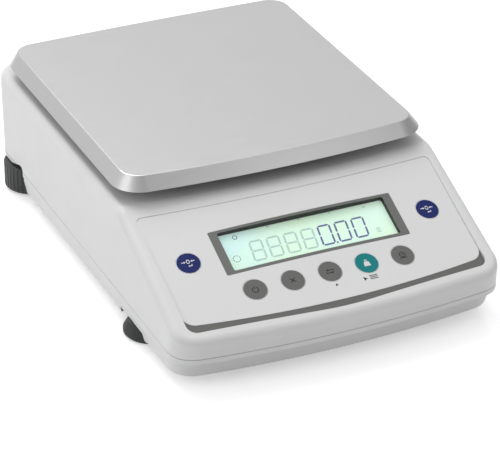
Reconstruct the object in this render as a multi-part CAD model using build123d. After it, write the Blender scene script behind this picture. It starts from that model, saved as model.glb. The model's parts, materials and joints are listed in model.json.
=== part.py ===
from build123d import *
import os
from math import cos, radians, sin, sqrt, tan

# Precision balance with a stainless pan, a sloping key panel and an inner weigh cell.
# Millimetres. +X is the operator's right, +Y runs to the rear, +Z is up, Z = 0 is the table.

# Housing form
half_width = 100.4
side_lean = 2.0
front_y = -149.8
front_lean = 8.0
rear_y = 144.9
rear_lean = 7.0
corner_radius = 15.0
rear_corner_radius = 18.0
bow_radius = 645.0
parting_z = 20.9
deck_z = 71.2
crease_y = -62.5
crease_radius = 14.0
slope_angle = 23.4
shoulder_radius = 5.0
inner_shoulder_radius = 3.0
wall = 2.6
roof = 3.6
seam_gap = 0.4

# Base tray
base_bottom_z = 5.5
lip_height = 3.5
cove_height = 3.0
cove_set_back = 3.0
band_set_back = 5.6
bottom_set_back = 7.6
bottom_draft = 2.6
base_edge_radius = 2.0
floor_thickness = 2.5
tongue_height = 3.0
tongue_thickness = 1.6
tongue_clearance = 0.3
rib_height = 3.4
rib_thickness = 1.6
rib_x = (-62.0, 0.0, 62.0)
rib_y = (-108.0, -56.0, 66.0)

# Operating panel, measured on the slope from the display frame's upper edge
panel_y = -83.4
recess_depth = 0.5
recess_tilt = 0.84
recess_side_margin = 9.2
recess_top_v = 16.6
recess_front_v = -68.7
recess_front_rise = 7.2
recess_front_round = 200.0
recess_top_bow_radius = 950.0
recess_top_corner = 3.0
recess_front_corner = 6.0
foil_thickness = 0.5
foil_front_v = -62.7
foil_front_bow_radius = 560.0
foil_front_corner = 8.0
foil_clearance = 0.1

# Display
frame_width = 112.4
frame_height = 30.3
frame_corner = 0.8
frame_depth = 4.0
frame_clearance = 0.15
window_half_width = 51.3
window_top_v = -1.6
window_bottom_v = -28.3
window_corner = 1.2
pane_depth = 2.4
pane_thickness = 1.5
pane_margin = 0.8
pane_clearance = 0.1
cell_width = 108.0
cell_height = 33.0
cell_thickness = 2.2
cell_gap = 0.3
backlight_width = 110.0
backlight_height = 35.0

# Keys
key_radius = 6.95
key_gap = 0.15
key_proud = 0.08
key_thickness = 1.2
key_pitch = 22.6
key_row_v = -43.4
tare_inset = 17.4
tare_v = -16.2
stem_radius = 1.7
stem_collar = 1.2
stem_entry = 2.5
switch_size = 8.0
switch_height = 5.0
switch_bore_radius = 2.1
switch_bore_depth = 4.0

# Display board
board_depth = 13.0
board_thickness = 1.6
display_board_inset = 7.2
display_board_top_v = 6.0
display_board_front_v = -55.0
display_post_inset = 13.2
display_post_v = (0.0, -50.0)
display_post_radius = 3.0

# Weighing pan
pan_y = 43.3
pan_top_z = 86.5
pan_width = 180.0
pan_depth = 185.6
pan_front_bow = 5.7
pan_rear_bow = 1.4
pan_corner = 12.0
pan_rim_height = 7.4
pan_rim_flare = 5.8
pan_rear_flare_share = 0.45
pan_sheet = 1.2
pan_edge_radius = 0.9

# Pan carrier
carrier_width = 150.0
carrier_depth = 156.0
carrier_corner = 14.0
carrier_thickness = 3.0
carrier_rib_height = 3.6
carrier_rib_thickness = 2.6
carrier_hole_radius = 13.0
carrier_hole_offset = 38.0
buffer_radius = 7.0
buffer_height = 4.3
buffer_seat = 1.0
buffer_inset = 16.0
hub_radius = 8.5
hub_length = 10.0
socket_clearance = 0.08
skirt_inner_radius = 17.0
skirt_wall = 2.0
skirt_gap = 1.0
collar_inner_radius = 12.0
collar_wall = 2.4
collar_height = 3.3

# Load cone and receptor
cone_top_radius = 4.0
cone_base_radius = 4.9
cone_length = 10.0
cone_flange_radius = 10.0
cone_flange_height = 3.0
receptor_width = 32.0
receptor_depth = 18.0
receptor_top_z = 60.0
stop_gap = 0.6
link_gap = 0.3
flexure_gap = 0.15

# Weigh cell frame
cell_foot_z = 12.0
cell_plate_thickness = 6.0
cell_plate_half_width = 38.0
cell_plate_front_y = -56.0
cell_plate_rear_y = 62.0
tower_half_width = 30.0
tower_front_y = -52.5
tower_rear_y = -8.0
tower_step = 12.0
tower_top_z = 57.0
tower_pocket_half_width = 22.0
guide_thickness = 2.0
guide_neck_thickness = 0.6
guide_neck_length = 4.0
guide_window = 28.0
lower_guide_z = 20.0
bracket_x = 10.0
bracket_thickness = 3.0
bracket_depth = 8.0
cell_boss_radius = 6.0
cell_screw_x = 34.0
cell_screw_y = (-50.0, 56.0)

# Lever, coil and magnet
pivot_y = 16.0
lever_bottom_z = 48.0
lever_height = 6.0
lever_half_width = 5.0
lever_front_reach = 14.0
pivot_pin_radius = 1.2
pivot_clearance = 0.06
magnet_y = -29.0
pot_radius = 20.0
pot_bore_radius = 16.5
pot_floor = 4.0
pot_height = 22.0
core_radius = 11.0
coil_inner_radius = 12.5
coil_outer_radius = 15.5
coil_bottom_z = 30.0
coil_cap = 2.0

# Feet
foot_inset = 13.9
front_foot_y = -73.0
rear_foot_y = 119.4
foot_pocket_radius = 20.2
foot_pocket_wall = 2.5
front_pocket_top_z = 10.0
rear_pocket_top_z = 23.5
notch_front_y = 97.4
notch_shelf_y = 102.5
notch_drop_y = 117.5
notch_rear_y = 137.4
notch_rear_top_z = 18.5
notch_corner = 3.5
notch_shelf_round = 8.0
notch_drop_round = 14.0
front_foot_radius = 16.2
front_foot_top_radius = 13.2
front_foot_straight = 3.0
front_foot_edge = 1.2
front_foot_stem_radius = 4.0
front_foot_stem_height = 6.0
front_foot_barb = 0.5
knob_radius = 17.4
knob_bottom_z = 0.8
knob_height = 16.8
knob_flutes = 36
knob_flute_radius = 0.8
knob_edge = 0.8
pad_radius = 11.0
pad_height = 2.5
pad_gap = 0.5
stud_radius = 4.0
stud_top_z = 46.0
thread_clearance = 0.06
insert_radius = 7.0
insert_height = 12.0
insert_wall = 2.5

# Rear connectors and main board
main_board_z = 26.0
main_board_half_width = 50.0
main_board_front_y = 70.0
main_board_rear_y = 130.0
main_post_x = 44.0
main_post_y = (88.0, 124.0)
processor = (1.0, 97.0, 18.0, 18.0, 2.5)
driver = (-30.0, 86.0, 12.0, 12.0, 2.0)
converter = (26.0, 103.0, 16.0, 14.0, 9.0)
capacitor_x = (-32.0, -18.0)
capacitor_y = 104.0
capacitor_radius = 4.0
capacitor_height = 11.0
board_post_radius = 3.5
serial_x = -18.0
serial_face_y = 145.8
serial_shell_width = 17.0
serial_shell_height = 8.6
serial_shell_wall = 0.5
serial_shell_length = 5.8
serial_flange_width = 30.8
serial_flange_height = 12.5
serial_flange_thickness = 0.8
serial_post_offset = 12.5
serial_post_radius = 2.6
serial_body_depth = 9.0
contact_pitch = 2.76
contact_radius = 0.55
jack_x = 24.0
jack_width = 9.0
jack_height = 11.0
jack_barrel_radius = 4.4
jack_bore_radius = 3.1
jack_pin_radius = 1.0
jack_depth = 15.0
port_clearance = 0.3

# Flat cable
cable_x = 41.0
cable_width = 16.0
cable_thickness = 0.8
cable_bend_y = -30.0
cable_bend_v = 16.0
cable_bend_radius = 6.0
header_height = 6.0
header_depth = 7.0

# Level
level_x = 70.0
level_y = 122.0
level_radius = 7.6
level_flange_radius = 9.4
level_flange_height = 1.0
level_depth = 9.0
level_wall = 1.4
level_clearance = 0.15
vial_clearance = 0.05
vial_crown = 0.7

# Housing screws
side_post_inset = 12.4
side_post_y = 16.0
front_post = (60.0, -134.0)
rear_post = (58.0, 134.0)
post_radius = 4.0
base_post_radius = 5.0
post_seat_z = 24.0
screw_head_radius = 3.4
screw_head_height = 2.6
screw_shank_radius = 1.6
screw_hole_clearance = 0.4
screw_grip = 12.0
counterbore_depth = 6.5
pilot_clearance = 0.05
board_screw_length = 8.0
board_screw_head = 2.8

# Sizes worked out from the values above
panel_angle = slope_angle + recess_tilt
panel_z = (deck_z + tan(radians(slope_angle)) * (panel_y - crease_y)
           - recess_depth / cos(radians(slope_angle)))
panel_up = (cos(radians(panel_angle)), sin(radians(panel_angle)))
standing = (Align.CENTER, Align.CENTER, Align.MIN)
bow_axis = Axis((0, front_y + bow_radius, 0), (0, 0, 1))
bow_sweep = 20
lip_bottom_z = parting_z - lip_height
base_floor_z = base_bottom_z + floor_thickness
pan_under_z = pan_top_z - pan_sheet
carrier_top_z = pan_under_z - buffer_height
carrier_under_z = carrier_top_z - carrier_thickness
cone_top_z = carrier_under_z - 1.0
cone_base_z = cone_top_z - cone_length
cell_plate_z = cell_foot_z + cell_plate_thickness
receptor_bottom_z = cell_plate_z + stop_gap
receptor_front_y = pan_y - receptor_depth / 2
guide_rear_y = receptor_front_y - flexure_gap
board_under = -(board_depth + board_thickness)
long_reach = 2 * half_width
recess_half_width = half_width - recess_side_margin
tare_x = recess_half_width - tare_inset
display_board_width = 2 * (recess_half_width - display_board_inset)
display_post_x = recess_half_width - display_post_inset
foot_x = half_width - foot_inset
post_places = ((half_width - side_post_inset, side_post_y), front_post, rear_post)


def bow(x, radius=bow_radius):
    """Set-back of a bowed edge at the distance x from the middle."""
    return radius - sqrt(radius * radius - x * x)


def plan_outline(side, front, rear, inset):
    """Plan view of the housing: bowed front, straight sides and rear, round corners."""
    shoulder = front + bow(side)
    edges = [
        Line((side, shoulder), (side, rear)),
        Line((side, rear), (-side, rear)),
        Line((-side, rear), (-side, shoulder)),
        ThreePointArc((-side, shoulder), (0, front), (side, shoulder)),
    ]
    face = make_face(edges)
    face = fillet(face.vertices().filter_by(lambda v: v.Y < 0), corner_radius - inset)
    return fillet(face.vertices().filter_by(lambda v: v.Y > rear - 1), rear_corner_radius - inset)


def bowed(section):
    """A side profile swept about the axis of the front bow."""
    return revolve(section, bow_axis, bow_sweep) + revolve(section, bow_axis, -bow_sweep)


def leaning(bottom_value, change, z):
    """A wall's place at a height, from its place at the parting line."""
    return bottom_value + change * (z - parting_z) / (deck_z - parting_z)


def housing_sides(bottom_z, inset):
    """Block between the drafted side walls and the rear wall."""
    top_z = deck_z + 5
    low = leaning(half_width, -side_lean, bottom_z) - inset
    high = leaning(half_width, -side_lean, top_z) - inset
    across = Polyline((low, bottom_z), (high, top_z), (-high, top_z), (-low, bottom_z), close=True)
    low = leaning(rear_y, rear_lean, bottom_z) - inset
    high = leaning(rear_y, rear_lean, top_z) - inset
    front = front_y - 60
    along = Polyline((front, bottom_z), (low, bottom_z), (high, top_z), (front, top_z), close=True)
    between_sides = extrude(Plane.XZ * make_face(across), long_reach, both=True)
    return between_sides & extrude(Plane.YZ * make_face(along), long_reach, both=True)


def housing_profile(bottom_z, inset, roof_inset):
    """Side profile of the housing: leaning front, slope and deck."""
    slope = tan(radians(slope_angle))
    top_z = deck_z - roof_inset
    bend_y = crease_y + (roof_inset / cos(radians(slope_angle)) - roof_inset) / slope
    lean = -front_lean / (deck_z - parting_z)
    foot_y = front_y + inset - lean * parting_z
    nose_z = (top_z + slope * (foot_y - bend_y)) / (1 - slope * lean)
    profile = make_face(Polyline(
        (rear_y + 30, top_z), (bend_y, top_z), (foot_y + lean * nose_z, nose_z),
        (foot_y + lean * bottom_z, bottom_z), (rear_y + 30, bottom_z), close=True))
    bend = profile.vertices().filter_by(lambda v: abs(v.X - bend_y) < 0.01)
    return Plane.YZ * fillet(bend, crease_radius)


def housing_form(bottom_z, inset, roof_inset, edge_radius):
    """Closed form of the upper housing: drafted walls under a deck and a bowed slope."""
    form = housing_sides(bottom_z, inset) & bowed(housing_profile(bottom_z, inset, roof_inset))
    form = fillet(corner_edges(form).filter_by(lambda e: e.center().Y < 0), corner_radius - inset)
    form = fillet(corner_edges(form).filter_by(lambda e: e.center().Y > 0), rear_corner_radius - inset)
    return fillet(top_edges(form), edge_radius)


def corner_edges(form):
    """The upright edges at the four corners."""
    edges = []
    for edge in form.edges():
        box = edge.bounding_box()
        short = box.size.Y < 14 and box.size.Z > 5
        if short and abs(box.center().X) > half_width - 6 and box.min.Z < parting_z + 1:
            edges.append(edge)
    return ShapeList(edges)


def top_edges(form):
    """The closed line where the walls meet the deck and the slope."""
    edges = []
    for edge in form.edges():
        box = edge.bounding_box()
        crosses = box.min.X < -half_width / 2 and box.max.X > half_width / 2
        at_bend = abs(box.center().Y - crease_y) < crease_radius * 2
        if box.min.Z > parting_z + 5 and not (crosses and at_bend):
            edges.append(edge)
    return edges


def on_panel(x, v, depth=0.0):
    """Place on the panel: x across, v up the slope, depth along its outward normal."""
    up_y, up_z = panel_up
    origin = (x, panel_y + v * up_y - depth * up_z, panel_z + v * up_z + depth * up_y)
    return Plane(origin=origin, x_dir=(1, 0, 0), z_dir=(0, -up_z, up_y))


def panel_layer(top, bottom):
    """Bowed sheet that follows the foil's upper face, between two depths."""
    corners = []
    for v, depth in ((-90, bottom), (40, bottom), (40, top), (-90, top)):
        place = on_panel(0, v, depth).origin
        corners.append((place.Y, place.Z))
    return bowed(Plane.YZ * make_face(Polyline(*corners, close=True)))


def panel_outline(inset, front_edge, front_corner):
    """Outline on the panel between the recess's sides, with the given front edge."""
    side = recess_half_width - inset
    top = recess_top_v - inset
    top_side = top + bow(side, recess_top_bow_radius)
    front_side = front_edge.start_point().Y
    edges = [
        ThreePointArc((-side, top_side), (0, top), (side, top_side)),
        Line((side, top_side), (side, front_side)),
        front_edge,
        Line((-side, front_side), (-side, top_side)),
    ]
    face = make_face(edges)
    upper = face.vertices().filter_by(lambda v: v.Y > 0)
    face = fillet(upper, recess_top_corner)
    lower = face.vertices().filter_by(lambda v: v.Y < front_side + 1 and abs(v.X) > side - 1)
    return fillet(lower, front_corner)


def recess_outline(inset):
    """Outline of the recess: its front edge is two lines that meet in a wide rounding."""
    side = recess_half_width - inset
    front = recess_front_v + inset
    edge = FilletPolyline((side, front + recess_front_rise), (0, front), (-side, front + recess_front_rise),
                          radius=recess_front_round)
    return panel_outline(inset, edge, recess_front_corner)


def foil_outline(inset):
    """Outline of the foil: its front edge is one flat arc."""
    side = recess_half_width - inset
    front = foil_front_v + inset
    front_side = front + bow(side, foil_front_bow_radius)
    edge = ThreePointArc((side, front_side), (0, front), (-side, front_side))
    return panel_outline(inset, edge, foil_front_corner)


def panel_prism(sketch, low, high):
    """A flat outline on the panel, pulled along the panel's normal between two depths."""
    return extrude(on_panel(0, 0, low) * sketch, high - low)


def key_places():
    """Key names with their places on the panel."""
    row = ("key_power", "key_clear", "key_units", "key_calibrate", "key_print")
    places = {}
    for index, name in enumerate(row):
        places[name] = ((index - 2) * key_pitch, key_row_v)
    places["key_tare_left"] = (-tare_x, tare_v)
    places["key_tare_right"] = (tare_x, tare_v)
    return places


def mirrored(part):
    """A part and its mirror image across the middle plane."""
    return part + mirror(part, Plane.YZ)


def upright(x, y, radius, low, high):
    """Upright round bar between two heights."""
    return Pos(x, y, (low + high) / 2) * Cylinder(radius, high - low)


def block(x_low, x_high, y_low, y_high, z_low, z_high):
    """Block between its low and high faces."""
    size = (x_high - x_low, y_high - y_low, z_high - z_low)
    middle = ((x_low + x_high) / 2, (y_low + y_high) / 2, (z_low + z_high) / 2)
    return Pos(*middle) * Box(*size)


def housing_post_places():
    """Places of the six housing screws."""
    return [(side * x, y) for x, y in post_places for side in (-1, 1)]


def wheel_notch():
    """Cutter for the opening in a side wall through which a foot's wheel is turned."""
    outline = make_face(Polyline(
        (notch_front_y, 0), (notch_front_y, rear_pocket_top_z), (notch_shelf_y, rear_pocket_top_z),
        (notch_drop_y, notch_rear_top_z), (notch_rear_y, notch_rear_top_z), (notch_rear_y, 0), close=True))
    for y, radius in ((notch_front_y, notch_corner), (notch_shelf_y, notch_shelf_round),
                      (notch_drop_y, notch_drop_round), (notch_rear_y, notch_corner)):
        corner = outline.vertices().filter_by(lambda v, y=y: abs(v.X - y) < 0.01 and v.Y > 1)
        outline = fillet(corner, radius)
    return Pos(foot_x, 0, 0) * extrude(Plane.YZ * outline, long_reach)


def serial_outline(width, height):
    """The D outline of the serial connector."""
    narrow = width / 2 - height * tan(radians(10))
    points = [(-width / 2, height / 2), (width / 2, height / 2),
              (narrow, -height / 2), (-narrow, -height / 2)]
    face = make_face(Polyline(*points, close=True))
    return fillet(face.vertices(), height * 0.28)


def rear_plane(x, z, y):
    """Plane on the rear wall, facing backwards."""
    return Plane(origin=(x, y, z), x_dir=(-1, 0, 0), z_dir=(0, 1, 0))


def serial_centre_z():
    return main_board_z + board_thickness + serial_flange_height / 2


def jack_centre_z():
    return main_board_z + board_thickness + jack_height / 2


def make_upper_housing():
    """White upper shell: deck with collar, sloping panel with its recess, posts."""
    bottom = parting_z + seam_gap / 2
    outer = housing_form(bottom, 0, 0, shoulder_radius)
    cavity = housing_form(bottom - 5, wall, roof, inner_shoulder_radius)
    shell = outer - cavity
    fill = housing_form(bottom, wall / 2, roof / 2, inner_shoulder_radius)
    shell += housing_posts() & fill
    shell += display_posts() & fill
    shell -= housing_pilot_holes()
    shell -= panel_cutters()
    collar = upright(0, pan_y, collar_inner_radius + collar_wall, deck_z - roof, deck_z + collar_height)
    shell += collar
    shell -= upright(0, pan_y, collar_inner_radius, deck_z - 3 * roof, deck_z + 3 * roof)
    shell -= upright(level_x, level_y, level_radius + level_clearance, deck_z - 3 * roof, deck_z + 1)
    shell -= mirrored(wheel_notch())
    shell -= rear_openings()
    return shell


def housing_posts():
    """Screw posts that stand down from the roof onto the base tray."""
    posts = Part()
    for x, y in housing_post_places():
        posts += upright(x, y, post_radius, post_seat_z, deck_z)
    return posts


def housing_pilot_holes():
    holes = Part()
    radius = screw_shank_radius + pilot_clearance
    for x, y in housing_post_places():
        holes += upright(x, y, radius, post_seat_z - 1, post_seat_z + screw_grip)
    return holes


def display_posts():
    """Posts that carry the display board under the slope."""
    posts = Part()
    for x, v in display_post_places():
        place = on_panel(x, v, -board_depth)
        pilot = Cylinder(screw_shank_radius + pilot_clearance, board_screw_length, align=standing)
        post = Cylinder(display_post_radius, 2 * board_depth, align=standing)
        posts += place.location * (post - pilot)
    return posts


def display_post_places():
    return [(side * display_post_x, v) for v in display_post_v for side in (-1, 1)]


def panel_cutters():
    """Recess for the foil, opening for the display frame and holes for the keys."""
    cutters = panel_prism(recess_outline(0), -20, 20) & panel_layer(12, -foil_thickness)
    frame_hole = panel_frame_sketch(frame_clearance)
    cutters += panel_prism(frame_hole, -frame_depth - 3 * roof, 5)
    hole_radius = key_radius + 2 * key_gap
    for x, v in key_places().values():
        cutters += panel_prism(Pos(x, v) * Circle(hole_radius), -3 * roof, 5)
    return cutters


def panel_frame_sketch(grow):
    """Outline of the display frame on the panel."""
    sketch = Rectangle(frame_width + 2 * grow, frame_height + 2 * grow)
    sketch = fillet(sketch.vertices(), frame_corner + grow)
    return Pos(0, -frame_height / 2) * sketch


def window_sketch(grow):
    """Outline of the display window on the panel."""
    height = window_top_v - window_bottom_v
    sketch = Rectangle(2 * window_half_width + 2 * grow, height + 2 * grow)
    sketch = fillet(sketch.vertices(), window_corner)
    return Pos(0, (window_top_v + window_bottom_v) / 2) * sketch


def rear_openings():
    """Openings in the rear wall for the serial connector and the power inlet."""
    reach = 8
    grow = 2 * port_clearance
    d_outline = serial_outline(serial_shell_width + grow, serial_shell_height + grow)
    start = serial_face_y - reach
    openings = extrude(rear_plane(serial_x, serial_centre_z(), start) * d_outline, 2 * reach)
    for side in (-1, 1):
        plane = rear_plane(serial_x + side * serial_post_offset, serial_centre_z(), start)
        openings += extrude(plane * Circle(serial_post_radius + port_clearance), 2 * reach)
    plane = rear_plane(jack_x, jack_centre_z(), start)
    openings += extrude(plane * Circle(jack_barrel_radius + port_clearance), 2 * reach)
    return openings


def band_outline(z, side_inset, front_inset, rear_inset):
    return Plane.XY.offset(z) * plan_outline(
        half_width - side_inset, front_y + front_inset, rear_y - rear_inset, 0)


def make_base_tray():
    """Lower housing: front lip over a coved band, floor with ribs, posts and foot pockets."""
    top = parting_z - seam_gap / 2
    lip = extrude(band_outline(lip_bottom_z, 0, 0, 0), top - lip_bottom_z)
    lip = chamfer(lip.faces().sort_by(Axis.Z)[0].edges(), 0.5)
    cove_z = lip_bottom_z - cove_height
    height = lip_bottom_z - base_bottom_z
    share = cove_height / height
    sections = [
        band_outline(base_bottom_z, bottom_draft, bottom_set_back, bottom_draft),
        band_outline(cove_z, bottom_draft * share, band_set_back, bottom_draft * share),
        band_outline(lip_bottom_z, 0.5, cove_set_back, 0.5),
    ]
    band = loft(sections, ruled=True)
    band = fillet(band.faces().sort_by(Axis.Z)[0].edges(), base_edge_radius)
    tray = band + lip
    inner = plan_outline(half_width - bottom_draft - wall, front_y + bottom_set_back + wall,
                         rear_y - bottom_draft - wall, wall)
    tray += base_tongue(top)
    tray -= extrude(Plane.XY.offset(base_floor_z) * inner, long_reach)
    room = extrude(Plane.XY.offset(base_bottom_z) * tongue_outline(0), long_reach)
    tray += base_ribs() & extrude(Plane.XY.offset(base_bottom_z + 1) * inner, long_reach)
    tray += base_bosses()
    tray += foot_cups() & (room + tray_solid(sections))
    tray -= foot_hollows()
    tray -= housing_screw_holes()
    tray -= base_pilot_holes()
    return tray


def tray_solid(sections):
    """The filled lower band, which bounds what stands inside it."""
    return loft(sections, ruled=True)


def tongue_outline(inset):
    clear = wall + tongue_clearance + inset
    return plan_outline(half_width - clear, front_y + clear, rear_y - clear, clear)


def base_tongue(top):
    """Ring that stands up from the base and locates the upper housing."""
    ring = tongue_outline(0) - tongue_outline(tongue_thickness)
    return extrude(Plane.XY.offset(top - 1) * ring, tongue_height + 1)


def base_ribs():
    """Stiffening ribs on the floor."""
    top = base_floor_z + rib_height
    half = rib_thickness / 2
    ribs = Part()
    for x in rib_x:
        ribs += block(x - half, x + half, front_y, rear_y, base_floor_z - 1, top)
    for y in rib_y:
        ribs += block(-half_width, half_width, y - half, y + half, base_floor_z - 1, top)
    return ribs


def base_bosses():
    """Screw posts, weigh cell feet and board posts on the floor."""
    low = base_floor_z - 1
    bosses = Part()
    for x, y in housing_post_places():
        bosses += upright(x, y, base_post_radius, low, post_seat_z)
    for x, y in cell_screw_places():
        bosses += upright(x, y, cell_boss_radius, low, cell_foot_z)
    for x, y in main_post_places():
        bosses += upright(x, y, board_post_radius, low, main_board_z)
    return bosses


def cell_screw_places():
    return [(side * cell_screw_x, y) for y in cell_screw_y for side in (-1, 1)]


def main_post_places():
    return [(side * main_post_x, y) for y in main_post_y for side in (-1, 1)]


def base_pilot_holes():
    """Blind holes for the weigh cell's and the main board's screws."""
    holes = Part()
    radius = screw_shank_radius + pilot_clearance
    for x, y in cell_screw_places():
        holes += upright(x, y, radius, base_bottom_z + 1.2, cell_foot_z + 1)
    for x, y in main_post_places():
        holes += upright(x, y, radius, main_board_z - board_screw_length - 2, main_board_z + 1)
    return holes


def housing_screw_holes():
    """Counterbored holes for the housing screws."""
    holes = Part()
    for x, y in housing_post_places():
        shank = screw_shank_radius + screw_hole_clearance
        head = screw_head_radius + screw_hole_clearance
        holes += upright(x, y, shank, base_bottom_z - 1, post_seat_z + 1)
        holes += upright(x, y, head, base_bottom_z - 1, base_bottom_z + counterbore_depth)
    return holes


def foot_cups():
    """Round pockets' walls over the feet, with the seats of the rear feet's inserts."""
    outer = foot_pocket_radius + foot_pocket_wall
    top = rear_pocket_top_z + foot_pocket_wall
    cups = upright(foot_x, front_foot_y, outer, base_bottom_z, front_pocket_top_z + foot_pocket_wall)
    cups += upright(foot_x, rear_foot_y, outer, base_bottom_z, top)
    cups += block(foot_x, half_width, notch_front_y - foot_pocket_wall, notch_rear_y + foot_pocket_wall,
                  base_bottom_z, top)
    seat = insert_radius + insert_wall
    cups += upright(foot_x, rear_foot_y, seat, rear_pocket_top_z, rear_pocket_top_z + insert_height)
    return mirrored(cups)


def foot_hollows():
    """Room for the feet, their stems and inserts."""
    hollows = upright(foot_x, front_foot_y, foot_pocket_radius, 0, front_pocket_top_z)
    stem = front_foot_stem_radius + thread_clearance
    hollows += upright(foot_x, front_foot_y, stem, 0, front_pocket_top_z + 3 * foot_pocket_wall)
    wall_x = half_width - wall - tongue_clearance - tongue_thickness
    wheel_room = upright(foot_x, rear_foot_y, foot_pocket_radius, 0, rear_pocket_top_z)
    wheel_room += block(foot_x, wall_x, notch_front_y, notch_rear_y, 0, rear_pocket_top_z)
    hollows += wheel_room & block(0, wall_x, 0, half_width * 2, 0, rear_pocket_top_z)
    top = rear_pocket_top_z + insert_height + 1
    hollows += upright(foot_x, rear_foot_y, insert_radius, rear_pocket_top_z - 1, top)
    hollows += wheel_notch()
    return mirrored(hollows)


def make_panel_foil():
    """White foil with its openings, bedded in the recess."""
    foil = panel_prism(foil_outline(foil_clearance), -20, 20) & panel_layer(0, -foil_thickness)
    foil -= panel_prism(panel_frame_sketch(frame_clearance), -10, 10)
    for x, v in key_places().values():
        foil -= panel_prism(Pos(x, v) * Circle(key_radius + key_gap), -10, 10)
    return foil


def make_front_trim():
    """Grey crescent between the foil's front edge and the recess's front edge."""
    outer = recess_outline(foil_clearance)
    inner = foil_outline(0)
    front_part = Pos(0, recess_front_v) * Rectangle(2 * half_width, -recess_front_v)
    sketch = (outer & front_part) - inner
    return panel_prism(sketch, -20, 20) & panel_layer(0, -foil_thickness)


def make_display_frame():
    """Grey frame with a flat seat for the pane."""
    frame = panel_prism(panel_frame_sketch(0), -frame_depth, 20) & panel_layer(0, -20)
    frame -= panel_prism(window_sketch(0), -20, 20)
    frame -= panel_prism(window_sketch(pane_margin), -20, -pane_depth)
    return frame


def make_display_window():
    """Clear pane behind the frame."""
    sketch = window_sketch(pane_margin - pane_clearance)
    return panel_prism(sketch, -pane_depth - pane_thickness, -pane_depth)


def panel_block(width, height, middle_v, low, high):
    return panel_prism(Pos(0, middle_v) * Rectangle(width, height), low, high)


def display_cell_top():
    return -(pane_depth + pane_thickness + cell_gap)


def make_display_cell():
    """Glass cell of the display, two glass plates with a step along one edge."""
    top = display_cell_top()
    middle = (window_top_v + window_bottom_v) / 2
    low = top - cell_thickness
    split = top - cell_thickness / 2
    upper = panel_block(cell_width, cell_height - 3, middle - 1.5, split, top)
    return upper + panel_block(cell_width, cell_height, middle, low, split)


def make_display_backlight():
    """Light box that carries the glass cell on the display board."""
    top = display_cell_top() - cell_thickness
    middle = (window_top_v + window_bottom_v) / 2
    box = panel_block(backlight_width, backlight_height, middle, -board_depth, top)
    return chamfer(box.edges().filter_by(Axis.X), 0.6)


def make_display_board():
    """Circuit board under the slope, with the header of the flat cable."""
    height = display_board_top_v - display_board_front_v
    middle = (display_board_top_v + display_board_front_v) / 2
    sketch = Pos(0, middle) * Rectangle(display_board_width, height)
    sketch = fillet(sketch.vertices(), 2)
    for x, v in display_post_places():
        sketch -= Pos(x, v) * Circle(screw_shank_radius + screw_hole_clearance)
    board = panel_prism(sketch, board_under, -board_depth)
    header = Pos(cable_x, 0) * Rectangle(cable_width + 2, header_depth)
    board += panel_prism(header, board_under - header_height, board_under)
    for x in (-52, -20, 8):
        chip = Pos(x, -24) * Rectangle(14, 14)
        board += panel_prism(chip, board_under - 2, board_under)
    return board


def make_key_switches():
    """Seven switch bodies on the display board."""
    switches = []
    for x, v in key_places().values():
        low = -board_depth
        high = low + switch_height
        square = fillet(Rectangle(switch_size, switch_size).vertices(), 0.8)
        body = panel_prism(Pos(x, v) * square, low, high)
        bore = panel_prism(Pos(x, v) * Circle(switch_bore_radius), high - switch_bore_depth, high + 1)
        switches.append((body - bore).solids()[0])
    return Compound(children=switches)


def make_key(x, v):
    """Round key cap flush with the foil, with a stem that enters its switch."""
    cap = panel_prism(Pos(x, v) * Circle(key_radius), -20, 20) & panel_layer(key_proud, -key_thickness)
    stem_end = -board_depth + switch_height - stem_entry
    stem = panel_prism(Pos(x, v) * Circle(stem_radius), stem_end, 0)
    collar_low = -key_thickness - 2 * stem_collar - 2
    stem += panel_prism(Pos(x, v) * Circle(stem_radius + stem_collar), collar_low, 0)
    return cap + (stem & panel_layer(-key_thickness / 2, -30))


def pan_outline(z, grow):
    """Plan of the pan at a height, with its front and rear bows."""
    side = pan_width / 2 + grow
    front = pan_y - pan_depth / 2 - grow
    rear = pan_y + pan_depth / 2 + grow * pan_rear_flare_share
    edges = [
        ThreePointArc((-side, front), (0, front - pan_front_bow), (side, front)),
        Line((side, front), (side, rear)),
        ThreePointArc((side, rear), (0, rear + pan_rear_bow), (-side, rear)),
        Line((-side, rear), (-side, front)),
    ]
    face = make_face(edges)
    return Plane.XY.offset(z) * fillet(face.vertices(), pan_corner + grow)


def make_pan():
    """Pressed tray with a sloping rim all round."""
    bottom = pan_top_z - pan_rim_height
    outer = loft([pan_outline(bottom, pan_rim_flare), pan_outline(pan_top_z, 0)])
    outer = fillet(outer.faces().sort_by(Axis.Z)[-1].edges(), pan_edge_radius)
    slope = pan_rim_flare / pan_rim_height
    side_sheet = pan_sheet * sqrt(1 + slope * slope)
    top_inset = slope * pan_sheet - side_sheet
    below = 1.0
    low = pan_outline(bottom - below, pan_rim_flare + slope * below - side_sheet)
    inner = loft([low, pan_outline(pan_under_z, top_inset)])
    return outer - inner


def buffer_places():
    x = carrier_width / 2 - buffer_inset
    y = carrier_depth / 2 - buffer_inset
    return [(sx * x, pan_y + sy * y) for sx in (-1, 1) for sy in (-1, 1)]


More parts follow.
